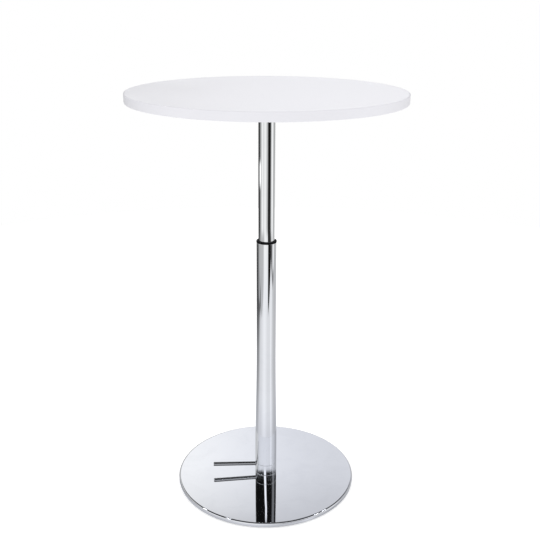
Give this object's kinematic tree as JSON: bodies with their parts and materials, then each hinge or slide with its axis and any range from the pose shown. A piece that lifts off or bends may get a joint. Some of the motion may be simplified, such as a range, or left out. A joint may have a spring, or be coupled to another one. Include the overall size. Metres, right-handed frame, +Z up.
{
  "type": "bistro table",
  "caption": "Height-adjustable pedestal bistro table: round white top on a telescopic chromed column with a foot lever and a flat round chromed base.",
  "frame": {"origin": "on the floor, on the column's axis, under the centre of the round top and base", "axes": "+Z up along the column; the foot lever points along -X; -Y is the side towards the viewer"},
  "size_m": [0.7, 0.7, 1.1],
  "materials": {
    "laminate": "smooth white laminate on chipboard",
    "edge": "white plastic edge band, satin",
    "chrome": "mirror chrome plating on steel",
    "plastic": "black moulded plastic",
    "black_steel": "black powder coat",
    "zinc": "zinc-plated steel"
  },
  "bodies": {
    "stand": {"base_plate": "chrome", "base_screw_1": "zinc", "base_screw_2": "zinc", "base_screw_3": "zinc", "base_screw_4": "zinc", "glide_1": "plastic", "glide_2": "plastic", "glide_3": "plastic", "glide_4": "plastic", "glide_5": "plastic", "glide_6": "plastic", "foot_socket": "chrome", "socket_grub_screw_1": "black_steel", "socket_grub_screw_2": "black_steel", "lever_pivot_pin": "zinc", "outer_tube": "chrome", "guide_bush": "plastic", "piston_rod": "chrome", "gas_piston": "zinc", "rod_locknut": "zinc"},
    "carriage": {"lower_guide": "plastic"},
    "top": {"tabletop_board": "laminate", "edge_band": "edge", "top_flange": "black_steel", "flange_screw_1": "zinc", "flange_screw_2": "zinc", "flange_screw_3": "zinc", "flange_screw_4": "zinc", "flange_screw_5": "zinc", "flange_screw_6": "zinc", "inner_tube": "chrome", "gas_cylinder": "black_steel", "rod_gland": "plastic", "cylinder_washer": "zinc", "cylinder_nut": "zinc"},
    "lever": {"lever_rod": "chrome", "lever_hub": "zinc"},
    "valve": {"release_pin": "zinc"}
  },
  "joints": [
    {"name": "height_slide", "type": "slide", "parent": "stand", "child": "carriage", "axis": [0, 0, 1], "range_m": [-0.35, 0]},
    {"name": "top_swivel", "type": "hinge", "parent": "carriage", "child": "top", "pos_m": [0, 0, 0.532], "axis": [0, 0, 1], "continuous": true},
    {"name": "lever_tilt", "type": "hinge", "parent": "stand", "child": "lever", "pos_m": [-0.011, 0, 0.0379], "axis": [0, -1, 0], "range_deg": [0, 8], "stiffness_Nm_per_rad": 6, "springref_deg": -11.46},
    {"name": "release_pin_travel", "type": "slide", "parent": "stand", "child": "valve", "axis": [0, 0, 1], "range_m": [0, 0.0016]}
  ],
  "couplings": [
    {"joint": "release_pin_travel", "follows": "lever_tilt", "m_per_rad": 0.011}
  ]
}
